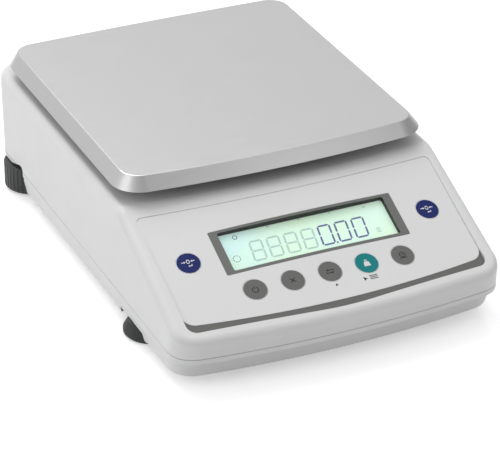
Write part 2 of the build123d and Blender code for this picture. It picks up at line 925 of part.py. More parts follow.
def make_pan_carrier():
    """Cast plate with ribs, a skirt over the deck's collar and a tapered hub."""
    outline = Pos(0, pan_y) * Rectangle(carrier_width, carrier_depth)
    outline = fillet(outline.vertices(), carrier_corner)
    for sx in (-1, 1):
        for sy in (-1, 1):
            x = sx * carrier_hole_offset
            y = pan_y + sy * carrier_hole_offset
            outline -= Pos(x, y) * Circle(carrier_hole_radius)
    carrier = extrude(Plane.XY.offset(carrier_under_z) * outline, carrier_thickness)
    carrier += carrier_ribs()
    skirt_outer = skirt_inner_radius + skirt_wall
    skirt_low = deck_z + skirt_gap
    carrier += upright(0, pan_y, skirt_outer, skirt_low, carrier_under_z)
    carrier -= upright(0, pan_y, skirt_inner_radius, skirt_low - 1, carrier_under_z)
    hub_low = carrier_under_z - hub_length
    carrier += upright(0, pan_y, hub_radius, hub_low, carrier_under_z)
    carrier -= cone_solid(socket_clearance, hub_low - 1)
    for x, y in buffer_places():
        carrier -= upright(x, y, buffer_radius, carrier_top_z - buffer_seat, carrier_top_z + 1)
    return carrier


def carrier_ribs():
    """Ribs under the plate, along both middles and round the edge."""
    low = carrier_under_z - carrier_rib_height
    half = carrier_rib_thickness / 2
    x = carrier_width / 2 - 6
    y = carrier_depth / 2 - 6
    ribs = block(-x, x, pan_y - half, pan_y + half, low, carrier_under_z)
    ribs += block(-half, half, pan_y - y, pan_y + y, low, carrier_under_z)
    frame = Rectangle(2 * x, 2 * y) - Rectangle(2 * x - 2 * half, 2 * y - 2 * half)
    ribs += extrude(Plane.XY.offset(low) * Pos(0, pan_y) * frame, carrier_rib_height)
    return ribs


def cone_radius(z):
    share = (cone_top_z - z) / cone_length
    return cone_top_radius + (cone_base_radius - cone_top_radius) * share


def cone_solid(grow, low):
    """The seat taper, grown by a clearance and carried down to a height."""
    top = cone_radius(cone_top_z) + grow
    bottom = cone_radius(low) + grow
    length = cone_top_z - low
    return Pos(0, pan_y, (cone_top_z + low) / 2) * Cone(bottom, top, length)


def make_load_cone():
    """Turned steel cone that carries the pan carrier."""
    flange_top = receptor_top_z + cone_flange_height
    cone = cone_solid(0, cone_base_z)
    cone += upright(0, pan_y, cone_radius(cone_base_z), flange_top, cone_base_z)
    return cone + upright(0, pan_y, cone_flange_radius, receptor_top_z, flange_top)


def make_pan_buffers():
    """Four rubber buffers with a dished top edge."""
    buffers = []
    for x, y in buffer_places():
        pad = upright(x, y, buffer_radius, carrier_top_z - buffer_seat, pan_under_z)
        pad = fillet(pad.faces().sort_by(Axis.Z)[-1].edges(), 0.8)
        buffers.append(pad.solids()[0])
    return Compound(children=buffers)


def make_load_receptor():
    """Upright block of the weigh cell, with the arm that pulls the lever's link."""
    half = receptor_width / 2
    rear = receptor_front_y + receptor_depth
    body = block(-half, half, receptor_front_y, rear, receptor_bottom_z, receptor_top_z)
    body = chamfer(body.edges().filter_by(Axis.Z), 1.5)
    window = block(-half - 1, half + 1, receptor_front_y + 5, rear - 5,
                   receptor_bottom_z + 8, receptor_top_z - 12)
    body -= window
    arm_front = receptor_front_y - 5
    body += block(-4, 4, arm_front, receptor_front_y + 2, 28, 32)
    return body


def make_lever_link():
    """Thin steel strip between the receptor's arm and the lever."""
    y = pivot_y + lever_front_reach
    strip = block(-3, 3, y - 0.25, y + 0.25, 32, lever_bottom_z - link_gap)
    return strip + block(-3, 3, y - 1, y + 1, 32, 34)


def make_cell_frame():
    """Casting of the weigh cell: plate, magnet tower and lever bracket."""
    wide = cell_plate_half_width
    frame = block(-wide, wide, cell_plate_front_y, cell_plate_rear_y, cell_foot_z, cell_plate_z)
    frame = fillet(frame.edges().filter_by(Axis.Z), 6)
    tower = block(-tower_half_width, tower_half_width, tower_front_y, tower_rear_y,
                  cell_plate_z, tower_top_z)
    pocket = tower_pocket_half_width
    tower -= block(-pocket, pocket, tower_front_y - 1, tower_rear_y + 1, cell_plate_z, tower_top_z + 1)
    tower += block(-tower_half_width, tower_half_width, tower_front_y, tower_front_y + 3, cell_plate_z, 30)
    frame += tower
    frame += block(-tower_half_width, tower_half_width, tower_rear_y, tower_rear_y + tower_step,
                   cell_plate_z, lower_guide_z)
    for side in (-1, 1):
        x = side * bracket_x
        half = bracket_thickness / 2
        low_y = pivot_y - bracket_depth / 2
        post = block(x - half, x + half, low_y, low_y + bracket_depth,
                     cell_plate_z, lever_bottom_z + lever_height)
        frame += post
    frame -= pivot_bore()
    for x, y in cell_screw_places():
        frame -= upright(x, y, screw_shank_radius + screw_hole_clearance, 0, cell_plate_z + 1)
    return frame


def pivot_centre_z():
    return lever_bottom_z + lever_height / 2


def pivot_bore():
    centre = Location((0, pivot_y, pivot_centre_z()), (0, 90, 0))
    return centre * Cylinder(pivot_pin_radius + pivot_clearance, 4 * bracket_x)


def make_guide(bottom_z, front_y_guide, clear_frame):
    """Parallel guide with thinned necks near both ends and a window between them."""
    top = bottom_z + guide_thickness
    guide = block(-tower_half_width, tower_half_width, front_y_guide, guide_rear_y, bottom_z, top)
    middle = (tower_rear_y + guide_rear_y) / 2
    half = guide_window / 2
    guide -= block(-half, half, middle - half, middle + half, bottom_z - 1, top + 1)
    cut = (guide_thickness - guide_neck_thickness) / 2
    for y in (clear_frame, guide_rear_y - 2 - guide_neck_length):
        for low, high in ((bottom_z - 1, bottom_z + cut), (top - cut, top + 1)):
            guide -= block(-half_width, half_width, y, y + guide_neck_length, low, high)
    return guide


def make_lever():
    """Balance lever with its pivot pin's bore and a cup end over the coil."""
    front = pivot_y + lever_front_reach + 2
    top = lever_bottom_z + lever_height
    bar = block(-lever_half_width, lever_half_width, magnet_y, front, lever_bottom_z, top)
    bar += upright(0, magnet_y, lever_half_width + 3, lever_bottom_z, top)
    bar -= block(-2, 2, magnet_y + 14, pivot_y - 8, lever_bottom_z - 1, top + 1)
    return bar - pivot_bore_fit()


def pivot_bore_fit():
    centre = Location((0, pivot_y, pivot_centre_z()), (0, 90, 0))
    return centre * Cylinder(pivot_pin_radius, 4 * bracket_x)


def make_pivot_pin():
    """Pin that the lever turns on, fixed in the lever."""
    centre = Location((0, pivot_y, pivot_centre_z()), (0, 90, 0))
    return centre * Cylinder(pivot_pin_radius, 2 * bracket_x + bracket_thickness)


def make_coil():
    """Coil former that hangs from the lever into the magnet's gap."""
    ring = upright(0, magnet_y, coil_outer_radius, coil_bottom_z, lever_bottom_z)
    ring -= upright(0, magnet_y, coil_inner_radius, coil_bottom_z - 1, lever_bottom_z - coil_cap)
    return ring


def make_magnet_pot():
    top = cell_plate_z + pot_height
    pot = upright(0, magnet_y, pot_radius, cell_plate_z, top)
    pot -= upright(0, magnet_y, pot_bore_radius, cell_plate_z + pot_floor, top + 1)
    return chamfer(pot.faces().sort_by(Axis.Z)[-1].edges().sort_by(SortBy.RADIUS)[-1], 1)


def make_magnet_core():
    low = cell_plate_z + pot_floor
    core = upright(0, magnet_y, core_radius, low, cell_plate_z + pot_height)
    return chamfer(core.faces().sort_by(Axis.Z)[-1].edges(), 0.8)


def make_front_foot(side):
    """Tapered rubber foot with a barbed stem in the base."""
    top = front_pocket_top_z
    stem_top = top + front_foot_stem_height
    points = [
        (0, 0), (front_foot_radius - front_foot_edge, 0), (front_foot_radius, front_foot_edge),
        (front_foot_radius, front_foot_straight), (front_foot_top_radius, top - 2),
        (front_foot_top_radius, top), (front_foot_stem_radius, top),
        (front_foot_stem_radius, top + foot_pocket_wall + 0.2),
        (front_foot_stem_radius + front_foot_barb, top + foot_pocket_wall + 0.8),
        (front_foot_stem_radius - 1, stem_top), (0, stem_top),
    ]
    section = Plane.XZ * make_face(Polyline(*points, close=True))
    return Pos(side * foot_x, front_foot_y, 0) * revolve(section, Axis.Z)


def make_foot_knob(side):
    """Ribbed wheel of a levelling foot."""
    top = knob_bottom_z + knob_height
    knob = upright(0, 0, knob_radius, knob_bottom_z, top)
    knob = chamfer(knob.edges().filter_by(GeomType.CIRCLE), knob_edge)
    flute = upright(knob_radius + knob_flute_radius * 0.35, 0, knob_flute_radius, 0, top + 1)
    flutes = [flute.rotate(Axis.Z, 360 / knob_flutes * index) for index in range(knob_flutes)]
    knob -= flutes
    knob -= upright(0, 0, pad_radius + pad_gap, 0, pad_height)
    knob -= upright(0, 0, stud_radius, 0, top + 1)
    return Pos(side * foot_x, rear_foot_y, 0) * knob


def make_foot_stud(side):
    """Threaded stud moulded into the wheel."""
    stud = upright(side * foot_x, rear_foot_y, stud_radius, pad_height, stud_top_z)
    return chamfer(stud.faces().sort_by(Axis.Z)[-1].edges(), 0.8)


def make_foot_pad(side):
    """Rubber tip under the stud."""
    pad = upright(side * foot_x, rear_foot_y, pad_radius, 0, pad_height)
    return fillet(pad.faces().sort_by(Axis.Z)[0].edges(), 0.6)


def make_foot_inserts():
    """Two brass inserts in the base that the studs screw into."""
    low = rear_pocket_top_z
    inserts = []
    for side in (-1, 1):
        x = side * foot_x
        insert = upright(x, rear_foot_y, insert_radius, low, low + insert_height)
        insert -= upright(x, rear_foot_y, stud_radius + thread_clearance, low - 1, low + insert_height + 1)
        inserts.append(insert.solids()[0])
    return Compound(children=inserts)


def make_main_board():
    """Main circuit board with its soldered parts."""
    wide = main_board_half_width
    top = main_board_z + board_thickness
    board = block(-wide, wide, main_board_front_y, main_board_rear_y, main_board_z, top)
    for x, y in main_post_places():
        board -= upright(x, y, screw_shank_radius + screw_hole_clearance, 0, top + 1)
    header_rear = main_board_front_y + 2 + header_depth
    cable_half = cable_width / 2 + 1
    board += block(cable_x - cable_half, cable_x + cable_half,
                   main_board_front_y + 2, header_rear, top, top + header_height)
    for x, y, width, depth, height in (processor, driver, converter):
        board += block(x - width / 2, x + width / 2, y - depth / 2, y + depth / 2, top, top + height)
    for x in capacitor_x:
        board += upright(x, capacitor_y, capacitor_radius, top, top + capacitor_height)
    return board


def make_serial_shell():
    """Metal D shell and flange of the serial connector."""
    flange_y = serial_face_y - serial_shell_length
    tube = serial_outline(serial_shell_width, serial_shell_height)
    inner = serial_outline(serial_shell_width - 2 * serial_shell_wall,
                           serial_shell_height - 2 * serial_shell_wall)
    shell = extrude(rear_plane(serial_x, serial_centre_z(), flange_y) * tube, serial_shell_length)
    flange = fillet(Rectangle(serial_flange_width, serial_flange_height).vertices(), 1.5)
    low = flange_y - serial_flange_thickness
    shell += extrude(rear_plane(serial_x, serial_centre_z(), low) * flange, serial_flange_thickness)
    shell -= extrude(rear_plane(serial_x, serial_centre_z(), low - 1) * inner, 3 * serial_shell_length)
    return shell


def make_serial_insert():
    """Plastic body of the serial connector with nine contact holes."""
    inner = serial_outline(serial_shell_width - 2 * serial_shell_wall,
                           serial_shell_height - 2 * serial_shell_wall)
    flange_y = serial_face_y - serial_shell_length - serial_flange_thickness
    plane = rear_plane(serial_x, serial_centre_z(), flange_y)
    body = extrude(plane * inner, serial_face_y - 0.3 - flange_y)
    block_sketch = Rectangle(19, serial_flange_height)
    body += extrude(plane * block_sketch, -serial_body_depth)
    for row, count in ((contact_pitch / 2, 5), (-contact_pitch / 2, 4)):
        for index in range(count):
            x = (index - (count - 1) / 2) * contact_pitch
            hole_plane = rear_plane(serial_x - x, serial_centre_z() + row, serial_face_y - 4)
            body -= extrude(hole_plane * Circle(contact_radius), 6)
    return body


def make_serial_posts():
    """Two threaded posts beside the serial connector."""
    flange_y = serial_face_y - serial_shell_length
    posts = []
    for side in (-1, 1):
        plane = rear_plane(serial_x + side * serial_post_offset, serial_centre_z(), flange_y)
        post = extrude(plane * RegularPolygon(serial_post_radius, 6), serial_shell_length - 0.2)
        mouth = rear_plane(serial_x + side * serial_post_offset, serial_centre_z(), serial_face_y - 4)
        post -= extrude(mouth * Circle(1.3), 6)
        posts.append(post.solids()[0])
    return Compound(children=posts)


def make_power_inlet():
    """Low-voltage power inlet with its centre pin."""
    face = serial_face_y
    half = jack_width / 2
    low = main_board_z + board_thickness
    inner_face = rear_y - wall + 0.4
    body = block(jack_x - half, jack_x + half, face - jack_depth, inner_face, low, low + jack_height)
    plane = rear_plane(jack_x, jack_centre_z(), inner_face)
    body += extrude(plane * Circle(jack_barrel_radius), face - inner_face)
    bore = rear_plane(jack_x, jack_centre_z(), face - 9)
    body -= extrude(bore * Circle(jack_bore_radius), 12)
    body += extrude(bore * Circle(jack_pin_radius), 8)
    return body


def make_flat_cable():
    """Flat cable from the main board's header to the display board's header."""
    start_z = main_board_z + board_thickness + header_height + cable_thickness / 2
    depth = board_under - header_height - cable_thickness / 2
    bend = on_panel(0, cable_bend_v, depth).origin
    end = on_panel(0, -header_depth / 2, depth).origin
    points = [(main_board_front_y + 2 + header_depth, start_z), (cable_bend_y, start_z),
              (bend.Y, bend.Z), (end.Y, end.Z)]
    path = FilletPolyline(*points, radius=cable_bend_radius)
    strip = trace(path, cable_thickness)
    low_x = cable_x - cable_width / 2
    return Pos(low_x, 0, 0) * extrude(Plane.YZ * strip, cable_width)


def make_level_cup():
    """Cup of the level, set in the deck."""
    low = deck_z - level_depth
    cup = upright(level_x, level_y, level_radius, low, deck_z)
    cup += upright(level_x, level_y, level_flange_radius, deck_z, deck_z + level_flange_height)
    cup -= upright(level_x, level_y, level_radius - level_wall, low + level_wall, deck_z + 5)
    return cup


def make_level_vial():
    """Round vial of the level with a crowned glass."""
    radius = level_radius - level_wall - vial_clearance
    low = deck_z - level_depth + level_wall
    vial = upright(level_x, level_y, radius, low, deck_z + level_flange_height + vial_crown)
    return fillet(vial.faces().sort_by(Axis.Z)[-1].edges(), vial_crown)


def screw(head_z, down, shank_length, head_radius=screw_head_radius):
    """Screw with a round head; down is +1 when it points up into its hole."""
    head = Cylinder(head_radius, screw_head_height, align=(Align.CENTER, Align.CENTER, Align.MAX))
    shank = Cylinder(screw_shank_radius, shank_length, align=(Align.CENTER, Align.CENTER, Align.MIN))
    slot = Pos(0, 0, -screw_head_height) * Box(0.8, 2 * head_radius, 1.6)
    body = head + shank - slot
    if down < 0:
        body = body.rotate(Axis.X, 180)
    return Pos(0, 0, head_z) * body


def make_housing_screws():
    """Six screws that hold the two housings together, from below."""
    seat = base_bottom_z + counterbore_depth
    length = post_seat_z - seat + screw_grip - 2
    return Compound(children=[
        (Pos(x, y, 0) * screw(seat, 1, length)).solids()[0] for x, y in housing_post_places()])


def make_cell_screws():
    """Four screws that hold the weigh cell on the base."""
    return Compound(children=[
        (Pos(x, y, 0) * screw(cell_plate_z, -1, cell_plate_thickness + 4)).solids()[0]
        for x, y in cell_screw_places()])


def make_board_screws():
    """Screws of the main board and of the display board."""
    screws = []
    top = main_board_z + board_thickness
    for x, y in main_post_places():
        screws.append((Pos(x, y, 0) * screw(top, -1, board_screw_length, board_screw_head)).solids()[0])
    for x, v in display_post_places():
        place = on_panel(x, v, board_under)
        screws.append((place.location * screw(0, 1, board_screw_length - 1, board_screw_head)).solids()[0])
    return Compound(children=screws)


def main():
    nodes = {
        "upper_housing": make_upper_housing(),
        "base_tray": make_base_tray(),
        "panel_foil": make_panel_foil(),
        "front_trim": make_front_trim(),
        "display_frame": make_display_frame(),
        "display_window": make_display_window(),
        "display_cell": make_display_cell(),
        "display_backlight": make_display_backlight(),
        "display_board": make_display_board(),
        "key_switches": make_key_switches(),
        "weighing_pan": make_pan(),
        "pan_carrier": make_pan_carrier(),
        "pan_buffers": make_pan_buffers(),
        "load_cone": make_load_cone(),
        "load_receptor": make_load_receptor(),
        "lever_link": make_lever_link(),
        "cell_frame": make_cell_frame(),
        "upper_guide": make_guide(tower_top_z, tower_rear_y - tower_step, tower_rear_y + 1),
        "lower_guide": make_guide(lower_guide_z, tower_rear_y, tower_rear_y + tower_step + 1),
        "balance_lever": make_lever(),
        "pivot_pin": make_pivot_pin(),
        "coil": make_coil(),
        "magnet_pot": make_magnet_pot(),
        "magnet_core": make_magnet_core(),
        "foot_inserts": make_foot_inserts(),
        "main_board": make_main_board(),
        "serial_shell": make_serial_shell(),
        "serial_insert": make_serial_insert(),
        "serial_posts": make_serial_posts(),
        "power_inlet": make_power_inlet(),
        "flat_cable": make_flat_cable(),
        "level_cup": make_level_cup(),
        "level_vial": make_level_vial(),
        "housing_screws": make_housing_screws(),
        "cell_screws": make_cell_screws(),
        "board_screws": make_board_screws(),
    }
    for name, (x, v) in key_places().items():
        nodes[name] = make_key(x, v)
    for side, word in ((-1, "left"), (1, "right")):
        nodes["front_foot_" + word] = make_front_foot(side)
        nodes["foot_knob_" + word] = make_foot_knob(side)
        nodes["foot_stud_" + word] = make_foot_stud(side)
        nodes["foot_pad_" + word] = make_foot_pad(side)
    os.makedirs("parts", exist_ok=True)
    for name, part in nodes.items():
        export_step(part, "parts/" + name + ".step")


main()
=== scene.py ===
import json
import bpy
from math import cos, pi, radians, sin, sqrt, tan
from mathutils import Matrix, Vector


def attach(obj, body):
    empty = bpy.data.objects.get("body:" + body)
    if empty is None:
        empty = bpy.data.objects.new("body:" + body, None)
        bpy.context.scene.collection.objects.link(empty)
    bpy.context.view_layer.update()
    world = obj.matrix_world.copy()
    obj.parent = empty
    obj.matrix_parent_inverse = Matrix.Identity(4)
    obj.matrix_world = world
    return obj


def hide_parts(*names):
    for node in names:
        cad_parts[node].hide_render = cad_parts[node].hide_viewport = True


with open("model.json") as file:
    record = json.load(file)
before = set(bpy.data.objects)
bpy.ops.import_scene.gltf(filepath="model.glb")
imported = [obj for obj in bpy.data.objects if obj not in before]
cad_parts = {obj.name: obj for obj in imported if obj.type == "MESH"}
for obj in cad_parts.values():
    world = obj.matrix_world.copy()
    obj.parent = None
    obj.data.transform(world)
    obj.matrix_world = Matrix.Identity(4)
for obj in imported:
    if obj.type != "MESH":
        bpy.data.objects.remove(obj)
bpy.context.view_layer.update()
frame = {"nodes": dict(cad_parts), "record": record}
nodes = frame["nodes"]
mm = 0.001


# Camera, lamps, room and floor: places and sizes in metres

view = {
    "place": (-0.5408, -1.2018, 0.7486),
    "looksAlong": (0.3617, 0.7926, -0.4909),
    "lens": 182.4,              # millimetres
    "nearest": 0.05,
    "farthest": 20,
}
lamps = {
    "rearLamp": {"place": (-0.2, 0.95, 1.7), "power": 15.0},
    "leftLamp": {"place": (-1.6, -0.2, 1.0), "power": 5.0},
    "frontLamp": {"place": (0.8, -1.5, 0.9), "power": 5.0},
}
lampWidth = 1.3
lampsAimAt = (0, 0, 0.04)
room = {
    "light": 0.78,
    "brightSide": (-0.15, 0.62, 0.77),      # bright above and behind, dim in front
    "dimmest": 0.22,
    "dimUpTo": -0.15,           # how far a direction leans to the bright side, from -1 to 1
    "brightFrom": 0.6,
}
ground = {
    "size": 12,
    "height": -0.0001,
    "colour": (0.86, 0.86, 0.86),
    "roughness": 0.14,
    "glow": 0.42,               # lifts the floor to white for the camera, the shadow stays
}


def clearSelection():
    if bpy.context.object and bpy.context.object.mode != "OBJECT":
        bpy.ops.object.mode_set(mode="OBJECT")
    bpy.ops.object.select_all(action="DESELECT")


def newMaterial(name, colour, roughness, metallic=0.0):
    made = bpy.data.materials.new(name)
    made.use_nodes = True
    tree = made.node_tree
    shader = tree.nodes["Principled BSDF"]
    shader.inputs["Base Color"].default_value = (*colour, 1)
    shader.inputs["Roughness"].default_value = roughness
    shader.inputs["Metallic"].default_value = metallic
    return made, tree, shader


def fill(tree, socket, value):
    # a number is set, what another node gives is linked
    if isinstance(value, (int, float)):
        socket.default_value = value
    else:
        tree.links.new(value, socket)


def calculate(tree, operation, *values, clamp=False):
    node = tree.nodes.new("ShaderNodeMath")
    node.operation = operation
    node.use_clamp = clamp
    for socket, value in zip(node.inputs, values):
        fill(tree, socket, value)
    return node.outputs[0]


def remap(tree, value, fromLow, fromHigh, toLow, toHigh):
    node = tree.nodes.new("ShaderNodeMapRange")
    limits = {"From Min": fromLow, "From Max": fromHigh, "To Min": toLow, "To Max": toHigh}
    for socketName, limit in limits.items():
        node.inputs[socketName].default_value = limit
    tree.links.new(value, node.inputs["Value"])
    return node.outputs["Result"]


def addCamera():
    clearSelection()
    bpy.ops.object.camera_add(location=view["place"])
    camera = bpy.context.object
    camera.name = "camera"
    camera.rotation_euler = Vector(view["looksAlong"]).to_track_quat("-Z", "Y").to_euler()
    camera.data.lens = view["lens"]
    camera.data.clip_start = view["nearest"]
    camera.data.clip_end = view["farthest"]
    bpy.context.scene.camera = camera


def addLamp(name, place, power):
    clearSelection()
    bpy.ops.object.light_add(type="AREA", location=place)
    lamp = bpy.context.object
    lamp.name = name
    lamp.data.shape = "DISK"
    lamp.data.size = lampWidth
    lamp.data.energy = power
    lamp.rotation_euler = (Vector(lampsAimAt) - Vector(place)).to_track_quat("-Z", "Y").to_euler()


def addBackground(tree, strength):
    background = tree.nodes.new("ShaderNodeBackground")
    background.inputs["Color"].default_value = (1, 1, 1, 1)
    fill(tree, background.inputs["Strength"], strength)
    return background.outputs[0]


def addWorld():
    world = bpy.data.worlds.new("studio")
    bpy.context.scene.world = world
    world.use_nodes = True
    tree = world.node_tree
    tree.nodes.clear()
    out = tree.nodes.new("ShaderNodeOutputWorld")
    coords = tree.nodes.new("ShaderNodeTexCoord")
    toward = tree.nodes.new("ShaderNodeVectorMath")
    toward.operation = "DOT_PRODUCT"
    toward.inputs[1].default_value = room["brightSide"]
    tree.links.new(coords.outputs["Generated"], toward.inputs[0])
    fall = remap(tree, toward.outputs["Value"], room["dimUpTo"], room["brightFrom"], room["dimmest"], 1.0)
    path = tree.nodes.new("ShaderNodeLightPath").outputs
    # mirrors see the room at its full strength
    light = remap(tree, path["Is Glossy Ray"], 0.0, 1.0, room["light"], 1.0)
    lit = addBackground(tree, calculate(tree, "MULTIPLY", fall, light))
    seen = addBackground(tree, 1.0)
    straight = calculate(tree, "MAXIMUM", path["Is Camera Ray"], path["Is Transmission Ray"])
    mix = tree.nodes.new("ShaderNodeMixShader")
    for socket, value in zip(mix.inputs, (straight, lit, seen)):
        tree.links.new(value, socket)
    tree.links.new(mix.outputs[0], out.inputs["Surface"])


def seenDirectly(tree):
    # 1 for what the camera, a mirror or a glass sees, 0 for light that falls on the object
    path = tree.nodes.new("ShaderNodeLightPath").outputs
    both = calculate(tree, "ADD", path["Is Camera Ray"], path["Is Glossy Ray"])
    return calculate(tree, "ADD", both, path["Is Transmission Ray"], clamp=True)


def addFloor():
    clearSelection()
    bpy.ops.mesh.primitive_plane_add(size=ground["size"], location=(0, 0, ground["height"]))
    floor = bpy.context.object
    floor.name = "floor"
    paint, tree, shader = newMaterial("paleFloor", ground["colour"], ground["roughness"])
    glow = calculate(tree, "MULTIPLY", seenDirectly(tree), ground["glow"])
    shader.inputs["Emission Color"].default_value = (1, 1, 1, 1)
    tree.links.new(glow, shader.inputs["Emission Strength"])
    floor.data.materials.append(paint)


bpy.context.scene.view_settings.view_transform = "Standard"
addCamera()
for lampName, lamp in lamps.items():
    addLamp(lampName, lamp["place"], lamp["power"])
addWorld()
addFloor()
print("studio ready")


# The operating panel: part of a wide cone, in metres and degrees

panel = {
    "y": -0.0834,               # a point on the middle line
    "z": 0.0616107,
    "slope": 24.24,
    "frontY": -0.1498,
    "bowRadius": 0.645,
    "windowReach": 0.58,        # from the cone's axis to the display window
    "cellDepth": -0.0042,
    "keyProud": 0.00008,
}
upY = cos(radians(panel["slope"]))
upZ = sin(radians(panel["slope"]))
grade = tan(radians(panel["slope"]))


def dropAcross(x, y):
    # the cone falls away towards the sides
    centre = panel["frontY"] + panel["bowRadius"]
    return grade * (centre - sqrt(x * x + (centre - y) ** 2) - y)


# Materials: a pattern's grain and a bump's depth are in metres

# the frame's black is painted shade, put on the walls inside the display window
frameLook = {
    "grey": (0.145, 0.15, 0.142),
    "shadeBlack": (0.006, 0.006, 0.006),
    "shadeBelow": 0.00035,      # under the panel's surface
    "greyAbove": 0.00025,
}
displayLook = {
    "colour": (0.6, 0.8, 0.76),
    "left": (0.56, 0.80, 0.78),
    "right": (0.62, 0.83, 0.70),
    "clouds": (0.64, 0.85, 0.62),
    "halfWidth": 0.055,
    "glow": 0.35,
}
boardLook = {
    "green": (0.02, 0.12, 0.05),
    "patch": (0.025, 0.15, 0.06),
    "tracks": (0.05, 0.24, 0.1),
    "trackScale": 90,
    "trackWidth": 0.02,
}
# the winding's darker colour is painted shade between the turns of wire, its lighter colour a painted
# highlight on their tops
wireLook = {
    "copper": (0.45, 0.17, 0.06),
    "gaps": (0.2, 0.07, 0.025),
    "litCrowns": (0.55, 0.22, 0.09),
    "scale": 700,
    "waver": 0.3,
}


def places(tree, stretch=(1, 1, 1)):
    coords = tree.nodes.new("ShaderNodeTexCoord")
    mapping = tree.nodes.new("ShaderNodeMapping")
    mapping.inputs["Scale"].default_value = stretch
    tree.links.new(coords.outputs["Object"], mapping.inputs["Vector"])
    return mapping.outputs["Vector"]


def objectAxes(tree):
    coords = tree.nodes.new("ShaderNodeTexCoord")
    parts = tree.nodes.new("ShaderNodeSeparateXYZ")
    tree.links.new(coords.outputs["Object"], parts.inputs[0])
    return parts.outputs


def noise(tree, grain, detail, roughness=0.55, stretch=(1, 1, 1)):
    node = tree.nodes.new("ShaderNodeTexNoise")
    node.inputs["Scale"].default_value = 1 / grain
    node.inputs["Detail"].default_value = detail
    node.inputs["Roughness"].default_value = roughness
    tree.links.new(places(tree, stretch), node.inputs["Vector"])
    return node.outputs["Fac"]


def spread(tree, value, low, high):
    # noise stays mostly between 0.3 and 0.7, so that stretch of it is spread from low to high
    return remap(tree, value, 0.3, 0.7, low, high)


def blendColours(tree, share, first, second):
    # in a colour mix the inputs 6 and 7 are the two colours, and output 2 is the result
    node = tree.nodes.new("ShaderNodeMix")
    node.data_type = "RGBA"
    for socket, colour in ((6, first), (7, second)):
        if isinstance(colour, tuple):
            node.inputs[socket].default_value = (*colour, 1)
        else:
            tree.links.new(colour, node.inputs[socket])
    tree.links.new(share, node.inputs[0])
    return node.outputs[2]


def addBump(tree, shader, height, strength, depth):
    node = tree.nodes.new("ShaderNodeBump")
    node.inputs["Strength"].default_value = strength
    node.inputs["Distance"].default_value = depth
    tree.links.new(height, node.inputs["Height"])
    tree.links.new(node.outputs["Normal"], shader.inputs["Normal"])


def darker(colour, share):
    return tuple(part * share for part in colour)


def mouldedPlastic(name, colour, roughness, grain, depth, mottle=0.05):
    # satin mould texture, a faint cloudiness and slightly uneven gloss
    made, tree, shader = newMaterial(name, colour, roughness)
    cloud = noise(tree, grain=0.045, detail=4)
    tint = blendColours(tree, spread(tree, cloud, 0, 1), darker(colour, 1 - mottle), colour)
    tree.links.new(tint, shader.inputs["Base Color"])
    sheen = noise(tree, grain=0.012, detail=3)
    tree.links.new(spread(tree, sheen, roughness - 0.05, roughness + 0.06), shader.inputs["Roughness"])
    texture = noise(tree, grain=grain, detail=2, roughness=0.6)
    addBump(tree, shader, texture, strength=0.5, depth=depth)
    return made


def printedInk(name, colour, roughness=0.5):
    # matt ink with a fine screen of dots
    made, tree, shader = newMaterial(name, colour, roughness)
    shader.inputs["Specular IOR Level"].default_value = 0.25
    dots = noise(tree, grain=0.0006, detail=2)
    tint = blendColours(tree, spread(tree, dots, 0, 1), darker(colour, 0.9), colour)
    tree.links.new(tint, shader.inputs["Base Color"])
    addBump(tree, shader, dots, strength=0.2, depth=0.00001)
    return made


def brushedMetal(name, colour, roughness, along, depth=0.00002, contrast=0.1):
    # fine scratches that run along one axis, over broad cloudy changes of colour
    made, tree, shader = newMaterial(name, colour, roughness, metallic=1.0)
    stretch = [1.0, 1.0, 1.0]
    stretch[along] = 0.02
    scratches = noise(tree, grain=0.0005, detail=4, roughness=0.7, stretch=tuple(stretch))
    cloud = noise(tree, grain=0.03, detail=4)
    tint = blendColours(tree, spread(tree, scratches, 0, 1), darker(colour, 1 - contrast), colour)
    tint = blendColours(tree, spread(tree, cloud, 0, 0.5), tint, darker(colour, 0.93))
    tree.links.new(tint, shader.inputs["Base Color"])
    gloss = spread(tree, scratches, roughness - 0.06, roughness + 0.08)
    tree.links.new(gloss, shader.inputs["Roughness"])
    addBump(tree, shader, scratches, strength=0.35, depth=depth)
    return made


def castMetal(name, colour, roughness):
    # sandy skin with darker clouds
    made, tree, shader = newMaterial(name, colour, roughness, metallic=0.85)
    cloud = noise(tree, grain=0.018, detail=5)
    tint = blendColours(tree, spread(tree, cloud, 0, 1), darker(colour, 0.82), colour)
    tree.links.new(tint, shader.inputs["Base Color"])
    sand = noise(tree, grain=0.0008, detail=3, roughness=0.7)
    tree.links.new(spread(tree, sand, roughness - 0.08, roughness + 0.1), shader.inputs["Roughness"])
    addBump(tree, shader, sand, strength=0.5, depth=0.00006)
    return made


def softRubber(name, colour):
    # dull skin with patches of pale dust
    made, tree, shader = newMaterial(name, colour, 0.7)
    dust = noise(tree, grain=0.006, detail=5)
    dusty = tuple(part * 1.5 + 0.01 for part in colour)
    tint = blendColours(tree, spread(tree, dust, 0, 1), colour, dusty)
    tree.links.new(tint, shader.inputs["Base Color"])
    skin = noise(tree, grain=0.0007, detail=3)
    tree.links.new(spread(tree, skin, 0.6, 0.82), shader.inputs["Roughness"])
    addBump(tree, shader, skin, strength=0.4, depth=0.00005)
    return made


def clearPane(name, colour, seeThrough, roughness):
    # wiped streaks show in the gloss only
    made, tree, shader = newMaterial(name, colour, roughness)
    shader.inputs["Alpha"].default_value = 1 - seeThrough
    wipe = noise(tree, grain=0.01, detail=4, stretch=(1, 0.2, 1))
    tree.links.new(spread(tree, wipe, roughness, roughness + 0.06), shader.inputs["Roughness"])
    return made


